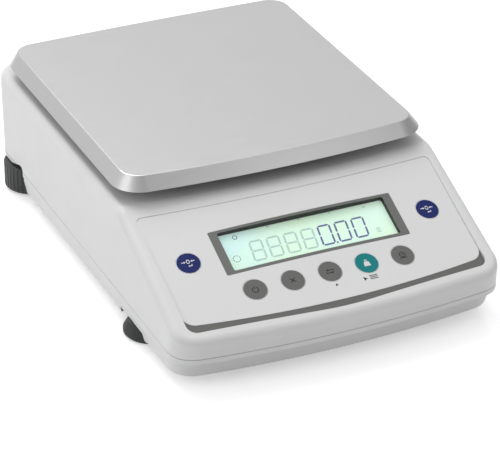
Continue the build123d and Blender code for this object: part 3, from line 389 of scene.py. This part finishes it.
def frameMaterial():
    # grey outside, painted black on the walls inside the window as painted shade of the recess
    made = mouldedPlastic("frameGrey", frameLook["grey"], 0.5, 0.0005, 0.00003)
    tree = made.node_tree
    shader = tree.nodes["Principled BSDF"]
    grey = shader.inputs["Base Color"].links[0].from_socket
    axes = objectAxes(tree)
    square = calculate(tree, "POWER", axes["X"], 2)
    sag = calculate(tree, "MULTIPLY", square, grade / (2 * panel["windowReach"]))
    level = calculate(tree, "ADD", axes["Z"], sag)
    height = calculate(tree, "MULTIPLY_ADD", axes["Y"], -grade, level)
    surface = panel["z"] - grade * panel["y"]
    # painted shade: a little below the panel's surface the frame turns black, standing in for the shade in
    # the window's recess
    shadeBlack = surface - frameLook["shadeBelow"]
    inside = remap(tree, height, shadeBlack, surface - frameLook["greyAbove"], 1.0, 0.0)
    tint = blendColours(tree, inside, grey, frameLook["shadeBlack"])
    tree.links.new(tint, shader.inputs["Base Color"])
    return made


def displayMaterial():
    # lit glass: pale cyan that turns to pale green in soft clouds
    made, tree, shader = newMaterial("displayGlass", displayLook["colour"], 0.35)
    reach = displayLook["halfWidth"]
    across = remap(tree, objectAxes(tree)["X"], -reach, reach, 0.0, 1.0)
    cloud = noise(tree, grain=0.03, detail=2, stretch=(0.6, 1.2, 1.2))
    wide = blendColours(tree, across, displayLook["left"], displayLook["right"])
    tint = blendColours(tree, spread(tree, cloud, 0.0, 1.0), wide, displayLook["clouds"])
    tree.links.new(tint, shader.inputs["Base Color"])
    tree.links.new(tint, shader.inputs["Emission Color"])
    shader.inputs["Emission Strength"].default_value = displayLook["glow"]
    dots = noise(tree, grain=0.0004, detail=1)
    addBump(tree, shader, dots, strength=0.1, depth=0.00001)
    return made


def boardMaterial():
    made = mouldedPlastic("circuitBoard", boardLook["green"], 0.35, 0.0006, 0.00002)
    tree = made.node_tree
    shader = tree.nodes["Principled BSDF"]
    tracks = tree.nodes.new("ShaderNodeTexBrick")
    tracks.inputs["Scale"].default_value = boardLook["trackScale"]
    tracks.inputs["Color1"].default_value = (*boardLook["green"], 1)
    tracks.inputs["Color2"].default_value = (*boardLook["patch"], 1)
    tracks.inputs["Mortar"].default_value = (*boardLook["tracks"], 1)
    tracks.inputs["Mortar Size"].default_value = boardLook["trackWidth"]
    tree.links.new(places(tree), tracks.inputs["Vector"])
    tree.links.new(tracks.outputs["Color"], shader.inputs["Base Color"])
    return made


def windingMaterial():
    made, tree, shader = newMaterial("copperWinding", wireLook["copper"], 0.35, metallic=0.9)
    wires = tree.nodes.new("ShaderNodeTexWave")
    wires.bands_direction = "Z"
    wires.inputs["Scale"].default_value = wireLook["scale"]
    wires.inputs["Distortion"].default_value = wireLook["waver"]
    tree.links.new(places(tree), wires.inputs["Vector"])
    # painted shade in the gaps between turns and a painted highlight on their crowns, over the bump
    tint = blendColours(tree, wires.outputs["Fac"], wireLook["gaps"], wireLook["litCrowns"])
    tree.links.new(tint, shader.inputs["Base Color"])
    addBump(tree, shader, wires.outputs["Fac"], strength=0.6, depth=0.0001)
    return made


# What follows each colour: mouldedPlastic has roughness, grain, depth and mottle, brushedMetal has roughness,
# the axis of its scratches (0 is X, 2 is Z), depth and contrast, clearPane has the share seen through and
# roughness.
finishes = {
    "housing": mouldedPlastic("housingWhite", (0.74, 0.74, 0.745), 0.42, 0.0006, 0.00003, 0.03),
    "foil": mouldedPlastic("foilWhite", (0.75, 0.75, 0.755), 0.5, 0.0003, 0.00001, 0.02),
    "trim": printedInk("trimGrey", (0.15, 0.15, 0.145), 0.5),
    "frame": frameMaterial(),
    "window": clearPane("windowPane", (0.9, 0.95, 0.95), 0.93, 0.04),
    "display": displayMaterial(),
    "backlight": mouldedPlastic("lightBox", (0.8, 0.8, 0.78), 0.5, 0.0006, 0.00002),
    "circuit_board": boardMaterial(),
    "switch": mouldedPlastic("switchBlack", (0.02, 0.02, 0.02), 0.45, 0.0005, 0.00002),
    "pan_steel": brushedMetal("panSteel", (0.53, 0.53, 0.53), 0.36, 0),
    "cast_alloy": castMetal("castAlloy", (0.52, 0.53, 0.54), 0.5),
    "milled_alloy": brushedMetal("milledAlloy", (0.66, 0.67, 0.68), 0.34, 0),
    "turned_steel": brushedMetal("turnedSteel", (0.56, 0.56, 0.56), 0.28, 2),
    "buffer_rubber": softRubber("bufferRubber", (0.03, 0.03, 0.03)),
    "winding": windingMaterial(),
    "magnet_iron": castMetal("magnetIron", (0.2, 0.2, 0.21), 0.42),
    "insert_brass": brushedMetal("insertBrass", (0.62, 0.46, 0.2), 0.3, 2),
    "connector_metal": brushedMetal("connectorMetal", (0.62, 0.62, 0.63), 0.25, 0, 0.00001, 0.05),
    "connector_plastic": mouldedPlastic("connectorBlack", (0.018, 0.018, 0.018), 0.4, 0.0005, 0.00003),
    "cable_grey": mouldedPlastic("cableGrey", (0.3, 0.3, 0.31), 0.5, 0.0005, 0.00002),
    "level_cup": castMetal("levelCup", (0.08, 0.08, 0.085), 0.45),
    "level_glass": clearPane("levelGlass", (0.55, 0.75, 0.2), 0.45, 0.05),
    "screw_steel": brushedMetal("screwSteel", (0.5, 0.5, 0.51), 0.3, 2),
    "key_grey": printedInk("keyGrey", (0.15, 0.15, 0.145)),
    "key_teal": printedInk("keyTeal", (0.0, 0.22, 0.23)),
    "key_blue": printedInk("keyBlue", (0.002, 0.012, 0.13)),
    "foot_rubber": softRubber("footRubber", (0.022, 0.025, 0.023)),
    "knob_plastic": mouldedPlastic("knobDark", (0.05, 0.056, 0.053), 0.5, 0.0006, 0.00005, 0.15),
}
signBlack = printedInk("signBlack", (0.012, 0.012, 0.012))
signWhite = printedInk("signWhite", (0.78, 0.78, 0.78))
digitBlue = printedInk("digitBlue", (0.075, 0.095, 0.33))
digitPale = printedInk("digitPale", (0.54, 0.77, 0.70))

for entry in frame["record"]["subparts"]:
    finish = finishes[entry["material_slot"]]
    for materialSlot in nodes[entry["node"]].material_slots:
        materialSlot.material = finish
print("materials on", len(nodes), "nodes")


# Outlines of signs, in millimetres: each is a closed list of points

signs = {
    "thickness": 0.03,
    "keyDisc": 6.7,
    "discSteps": 48,
    "stroke": 0.42,
    "headWidth": 1.5,
    "arcStep": 8,               # degrees, with never fewer steps than the next value
    "fewestSteps": 6,
}


def arcBand(centreX, centreY, radius, width, start, end):
    # outline of a bent band, angles in degrees, anticlockwise
    steps = max(signs["fewestSteps"], int(abs(end - start) / signs["arcStep"]))
    outline = []
    for edge in (radius + width / 2, radius - width / 2):
        angles = [start + (end - start) * step / steps for step in range(steps + 1)]
        if edge < radius:
            angles.reverse()
        for angle in angles:
            turn = radians(angle)
            outline.append((centreX + edge * cos(turn), centreY + edge * sin(turn)))
    return outline


def roundDisc(centreX, centreY, radius, squash=1.0):
    turns = [2 * pi * step / signs["discSteps"] for step in range(signs["discSteps"])]
    return [(centreX + radius * squash * cos(turn), centreY + radius * sin(turn)) for turn in turns]


def ring(centreX, centreY, radius, width, squash=1.0):
    return [roundDisc(centreX, centreY, radius + width / 2, squash),
            roundDisc(centreX, centreY, radius - width / 2, squash)]


def bar(startX, startY, endX, endY, width):
    along = Vector((endX - startX, endY - startY)).normalized() * width / 2
    side = Vector((-along.y, along.x))
    corners = []
    for x, y, way in ((startX, startY, 1), (endX, endY, 1), (endX, endY, -1), (startX, startY, -1)):
        corners.append((x + side.x * way, y + side.y * way))
    return corners


def arrow(tailX, tailY, tipX, tipY, width, headLength):
    # straight arrow in one outline
    way = Vector((tipX - tailX, tipY - tailY)).normalized()
    side = Vector((-way.y, way.x))
    tip = Vector((tipX, tipY))
    tail = Vector((tailX, tailY))
    neck = tip - way * headLength
    shaft = side * width / 2
    head = side * signs["headWidth"] / 2
    points = [tail + shaft, neck + shaft, neck + head, tip, neck - head, neck - shaft, tail - shaft]
    return [tuple(point) for point in points]


def returnArrow(x, y, size):
    # down and then to the left, in one outline
    thin = 0.17 * size
    inner = x + size - thin
    outer = x + size + thin
    top = y + 0.75 * size
    return [(inner, top), (outer, top), (outer, y - thin), (x, y - thin), (x, y - 0.5 * size),
            (x - 0.75 * size, y), (x, y + 0.5 * size), (x, y + thin), (inner, y + thin)]


def powerOutlines():
    stroke = signs["stroke"]
    return [arcBand(0, -0.1, 1.75, stroke, 122, 418), bar(0, 0.4, 0, 2.3, stroke)]


def crossOutlines(reach=2.0, width=0.5):
    # a plus, turned by 45 degrees
    half = width / 2
    plus = [(half, half), (half, reach), (-half, reach), (-half, half), (-reach, half), (-reach, -half),
            (-half, -half), (-half, -reach), (half, -reach), (half, -half), (reach, -half), (reach, half)]
    turn = radians(45)
    return [[(x * cos(turn) - y * sin(turn), x * sin(turn) + y * cos(turn)) for x, y in plus]]


def swapOutlines():
    # two arrows one above the other, each with a hook at its tail
    stroke = signs["stroke"]
    upper = arrow(2.0, 0.95, -2.1, 0.95, stroke, headLength=1.25)
    lower = arrow(-2.0, -0.95, 2.1, -0.95, stroke, headLength=1.25)
    hookUpper = [(2.0, 1.16), (2.42, 1.16), (2.42, -0.1), (2.0, -0.1)]
    hookLower = [(-2.42, 0.1), (-2.0, 0.1), (-2.0, -1.16), (-2.42, -1.16)]
    return [upper, lower, hookUpper, hookLower]


def weightOutlines():
    body = [(-2.0, -2.0), (2.0, -2.0), (1.45, 0.9), (-1.45, 0.9)]
    return [body] + ring(0, 1.72, 0.6, signs["stroke"])


def printOutlines():
    # a dot in a ring over a line
    line = bar(-2.3, -1.75, 2.3, -1.75, signs["stroke"])
    return ring(0, 0.45, 1.65, 0.4) + [roundDisc(0, 0.45, 0.45), line]


def tareOutlines():
    # two arrows that point at a zero, over a return arrow
    left = arrow(-3.9, 1.0, -1.35, 1.0, width=0.5, headLength=1.1)
    right = arrow(3.9, 1.0, 1.35, 1.0, width=0.5, headLength=1.1)
    return [left, right] + ring(0, 1.0, 1.15, 0.5, squash=0.72) + [returnArrow(0.2, -2.0, 1.3)]


# Signs as thin pieces on the slope

def flatSign(name, outlines, thickness):
    # filled outlines, given a thickness in millimetres from z = 0 up
    curve = bpy.data.curves.new(name, "CURVE")
    curve.dimensions = "2D"
    curve.fill_mode = "BOTH"
    curve.extrude = thickness * mm / 2
    for outline in outlines:
        spline = curve.splines.new("POLY")
        spline.points.add(len(outline) - 1)
        for point, (x, y) in zip(spline.points, outline):
            point.co = (x * mm, y * mm, 0, 1)
        spline.use_cyclic_u = True
    piece = bpy.data.objects.new(name, curve)
    bpy.context.scene.collection.objects.link(piece)
    clearSelection()
    piece.select_set(True)
    bpy.context.view_layer.objects.active = piece
    bpy.ops.object.convert(target="MESH")
    bpy.ops.object.mode_set(mode="EDIT")
    bpy.ops.mesh.select_all(action="SELECT")
    bpy.ops.mesh.remove_doubles(threshold=0.0000005)
    bpy.ops.mesh.normals_make_consistent(inside=False)
    bpy.ops.object.mode_set(mode="OBJECT")
    piece.data.transform(Matrix.Translation((0, 0, thickness * mm / 2)))
    return piece


def layOnPanel(piece, x, v, depth, bent=True):
    # from the flat drawing to the slope: x across, v up the slope, depth outwards, in metres
    for vertex in piece.data.vertices:
        flatX, flatV, high = vertex.co.x + x, vertex.co.y + v, vertex.co.z + depth
        if bent:
            high += dropAcross(flatX, panel["y"] + flatV * upY) * upY
        vertex.co = (flatX, panel["y"] + flatV * upY - high * upZ, panel["z"] + flatV * upZ + high * upY)
    piece.data.update()


def dressPiece(piece, body, material):
    piece.data.materials.clear()
    piece.data.materials.append(material)
    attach(piece, body)


# Keys: five in a row under the display, a tare key at each side, in millimetres

keyPlaces = {
    "pitch": 22.6,
    "row": -43.4,
    "tareX": 73.8,
    "tareRow": -16.2,
}
keyLayout = {
    "key_power": (-2 * keyPlaces["pitch"], keyPlaces["row"], "grey"),
    "key_clear": (-keyPlaces["pitch"], keyPlaces["row"], "grey"),
    "key_units": (0.0, keyPlaces["row"], "grey"),
    "key_calibrate": (keyPlaces["pitch"], keyPlaces["row"], "teal"),
    "key_print": (2 * keyPlaces["pitch"], keyPlaces["row"], "grey"),
    "key_tare_left": (-keyPlaces["tareX"], keyPlaces["tareRow"], "blue"),
    "key_tare_right": (keyPlaces["tareX"], keyPlaces["tareRow"], "blue"),
}
keySigns = {
    "key_power": powerOutlines(),
    "key_clear": crossOutlines(),
    "key_units": swapOutlines(),
    "key_calibrate": weightOutlines(),
    "key_print": printOutlines(),
    "key_tare_left": tareOutlines(),
    "key_tare_right": tareOutlines(),
}
keyCap = {
    "radius": 6.95,
    "thickness": 1.2,
    "edge": 0.28,
    "edgeSteps": 3,
    "border": 0.15,
    "sides": 64,
    "facesUp": 0.9,             # a face's normal against +Z
    "facesStraightUp": 0.999,
    "nearTop": 0.01,
}


def makeKeyCap():
    # a disc with a rounded rim and a narrow flat border inside it, which all keys copy
    clearSelection()
    radius = keyCap["radius"] * mm
    thickness = keyCap["thickness"] * mm
    middle = (0, 0, panel["keyProud"] - thickness / 2)
    bpy.ops.mesh.primitive_cylinder_add(
        vertices=keyCap["sides"], radius=radius, depth=thickness, location=middle)
    cap = bpy.context.object
    bpy.ops.object.transform_apply(location=True, rotation=True, scale=True)
    bpy.ops.object.mode_set(mode="EDIT")
    bpy.ops.mesh.select_all(action="DESELECT")
    bpy.ops.object.mode_set(mode="OBJECT")
    top = max(vertex.co.z for vertex in cap.data.vertices)
    # the rim of the top face is rounded
    for face in cap.data.polygons:
        face.select = face.normal.z > keyCap["facesUp"]
    bpy.ops.object.mode_set(mode="EDIT")
    bpy.ops.mesh.bevel(offset=keyCap["edge"] * mm, segments=keyCap["edgeSteps"], affect="EDGES")
    bpy.ops.object.mode_set(mode="OBJECT")
    # what is left of the top face gets the border
    plateau = top - keyCap["nearTop"] * mm
    for face in cap.data.polygons:
        face.select = face.normal.z > keyCap["facesStraightUp"] and face.center.z > plateau
    bpy.ops.object.mode_set(mode="EDIT")
    bpy.ops.mesh.inset(thickness=keyCap["border"] * mm)
    bpy.ops.object.mode_set(mode="OBJECT")
    bpy.ops.object.shade_smooth_by_angle(angle=radians(35))
    return cap


def makeKeys():
    pattern = makeKeyCap()
    for node, (x, v, ink) in keyLayout.items():
        body = node + "_cap"
        shortName = "".join(word.capitalize() for word in node.split("_")[1:])
        cap = pattern.copy()
        cap.data = pattern.data.copy()
        cap.name = "cap" + shortName
        bpy.context.scene.collection.objects.link(cap)
        layOnPanel(cap, x * mm, v * mm, 0)
        dressPiece(cap, body, finishes["foil"])
        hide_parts(node)
        disc = flatSign("disc" + shortName, [roundDisc(0, 0, signs["keyDisc"])], signs["thickness"])
        layOnPanel(disc, x * mm, v * mm, panel["keyProud"])
        dressPiece(disc, body, finishes["key_" + ink])
        sign = flatSign("sign" + shortName, keySigns[node], signs["thickness"])
        layOnPanel(sign, x * mm, v * mm, panel["keyProud"] + signs["thickness"] * mm)
        dressPiece(sign, body, signBlack if ink == "grey" else signWhite)
    bpy.data.objects.remove(pattern)


# Two small signs printed on the foil under the keys, in millimetres

upSign = {
    "place": (0.1, -52.7),
    "outline": [(-1.0, -0.7), (1.0, -0.7), (0, 0.8)],
}
menuSign = {
    "place": (17.8, -53.0),
    "pointer": [(-1.3, 1.2), (1.2, -0.5), (0.0, -0.7), (-0.9, -1.6)],
    "rows": (1.1, 0.0, -1.1),
    "lineStart": 2.6,
    "lineEnd": 7.4,
    "lineWidth": 0.5,
}


def makePanelSigns():
    lines = [bar(menuSign["lineStart"], row, menuSign["lineEnd"], row, menuSign["lineWidth"])
             for row in menuSign["rows"]]
    prints = (
        ("signUp", [upSign["outline"]], upSign["place"]),
        ("signMenu", [menuSign["pointer"]] + lines, menuSign["place"]),
    )
    for name, outlines, (x, v) in prints:
        sign = flatSign(name, outlines, signs["thickness"])
        layOnPanel(sign, x * mm, v * mm, 0)
        dressPiece(sign, "housing", signBlack)


# The display: seven digits, small marks and the black mask round the glass, in millimetres

display = {
    "printThickness": 0.02,
    "ghostThickness": 0.01,
    "slant": 0.10,              # share of the height by which a digit leans over
    "digitWidth": 7.1,
    "digitHeight": 13.0,
    "stroke": 1.15,
    "gap": 0.35,
    "firstDigit": -35.8,
    "digitPitch": 10.5,
    "bottom": -22.9,
    "paleDigits": 4,
    "litDigits": 3,
}
decimalPoint = {
    "x": 14.7,
    "below": 0.1,
    "radius": 0.65,
}
busyMark = {
    "place": (-45.4, -18.9),
    "radius": 2.1,
    "width": 0.4,
    "parts": 8,
    "sweep": 32,                # degrees
}
steadyMark = {
    "place": (-41.0, -4.7),
    "radius": 1.25,
    "width": 0.4,
}
ghostMarks = {
    "top": ((-20.0, -2.4), (-0.7, -2.2), (18.3, -2.3), (39.4, -3.6)),
    "halfLength": 0.9,
    "width": 0.7,
    "unitStart": 40.0,
    "unitEnd": 42.6,
    "unitTop": -19.6,
    "unitPitch": 1.3,
    "unitRows": 3,
}
mask = {
    "outerReach": 54.0,
    "outerTop": 1.4,
    "outerBottom": -31.4,
    "reach": 51.3,
    "top": -1.6,
    "bottom": -28.3,
    "corner": 1.6,
    "cornerSteps": 6,
}
zero = ("top", "bottom", "upperLeft", "upperRight", "lowerLeft", "lowerRight")
eight = zero + ("middle",)


def segment(x, y, length, upright):
    # a thin bar with pointed ends
    half = display["stroke"] / 2
    if upright:
        return [(x, y), (x + half, y + half), (x + half, y + length - half), (x, y + length),
                (x - half, y + length - half), (x - half, y + half)]
    return [(x, y), (x + half, y - half), (x + length - half, y - half), (x + length, y),
            (x + length - half, y + half), (x + half, y + half)]


def digitOutlines(place, parts):
    # one digit, counted from the left
    left = display["firstDigit"] + display["digitPitch"] * place
    wide, high, gap = display["digitWidth"], display["digitHeight"], display["gap"]
    half = high / 2
    shapes = {
        "top": segment(gap / 2, high, wide - gap, False),
        "middle": segment(gap / 2, half, wide - gap, False),
        "bottom": segment(gap / 2, 0, wide - gap, False),
        "upperLeft": segment(0, half + gap / 2, half - gap, True),
        "upperRight": segment(wide, half + gap / 2, half - gap, True),
        "lowerLeft": segment(0, gap / 2, half - gap, True),
        "lowerRight": segment(wide, gap / 2, half - gap, True),
    }
    outlines = []
    for part in parts:
        outlines.append([(left + x + y * display["slant"], display["bottom"] + y) for x, y in shapes[part]])
    return outlines


def litOutlines():
    # the lit zeros, the point, the ring of dashes and the small ring
    outlines = []
    for place in range(display["litDigits"]):
        outlines += digitOutlines(display["paleDigits"] + place, zero)
    height = display["bottom"] - decimalPoint["below"]
    outlines.append(roundDisc(decimalPoint["x"], height, decimalPoint["radius"]))
    step = 360 / busyMark["parts"]
    for part in range(busyMark["parts"]):
        outlines.append(arcBand(*busyMark["place"], busyMark["radius"], busyMark["width"],
                                part * step, part * step + busyMark["sweep"]))
    return outlines + ring(*steadyMark["place"], steadyMark["radius"], steadyMark["width"])


def maskOutlines():
    # a sheet with a window whose corners are round
    outer = [(-mask["outerReach"], mask["outerBottom"]), (mask["outerReach"], mask["outerBottom"]),
             (mask["outerReach"], mask["outerTop"]), (-mask["outerReach"], mask["outerTop"])]
    across = mask["reach"] - mask["corner"]
    high = mask["top"] - mask["corner"]
    low = mask["bottom"] + mask["corner"]
    inner = []
    for x, v, start in ((across, high, 0), (-across, high, 90), (-across, low, 180), (across, low, 270)):
        for step in range(mask["cornerSteps"] + 1):
            turn = radians(start + 90 * step / mask["cornerSteps"])
            inner.append((x + mask["corner"] * cos(turn), v + mask["corner"] * sin(turn)))
    return [outer, inner]


def ghostOutlines():
    # the unlit digits and marks that show faintly
    outlines = []
    for place in range(display["paleDigits"]):
        outlines += digitOutlines(place, eight)
    half = ghostMarks["halfLength"]
    for x, v in ghostMarks["top"]:
        outlines.append(bar(x - half, v, x + half, v, ghostMarks["width"]))
    for row in range(ghostMarks["unitRows"]):
        v = ghostMarks["unitTop"] - row * ghostMarks["unitPitch"]
        outlines.append(bar(ghostMarks["unitStart"], v, ghostMarks["unitEnd"], v, ghostMarks["width"]))
    return outlines


def makeDisplay():
    prints = (
        ("displayDigits", litOutlines(), display["printThickness"], digitBlue),
        ("displayMask", maskOutlines(), display["printThickness"], signBlack),
        ("displayGhosts", ghostOutlines(), display["ghostThickness"], digitPale),
    )
    for name, outlines, thickness, ink in prints:
        sign = flatSign(name, outlines, thickness)
        layOnPanel(sign, 0, 0, panel["cellDepth"], bent=False)
        dressPiece(sign, "housing", ink)


makeKeys()
makePanelSigns()
makeDisplay()
print("keys, signs and display ready")
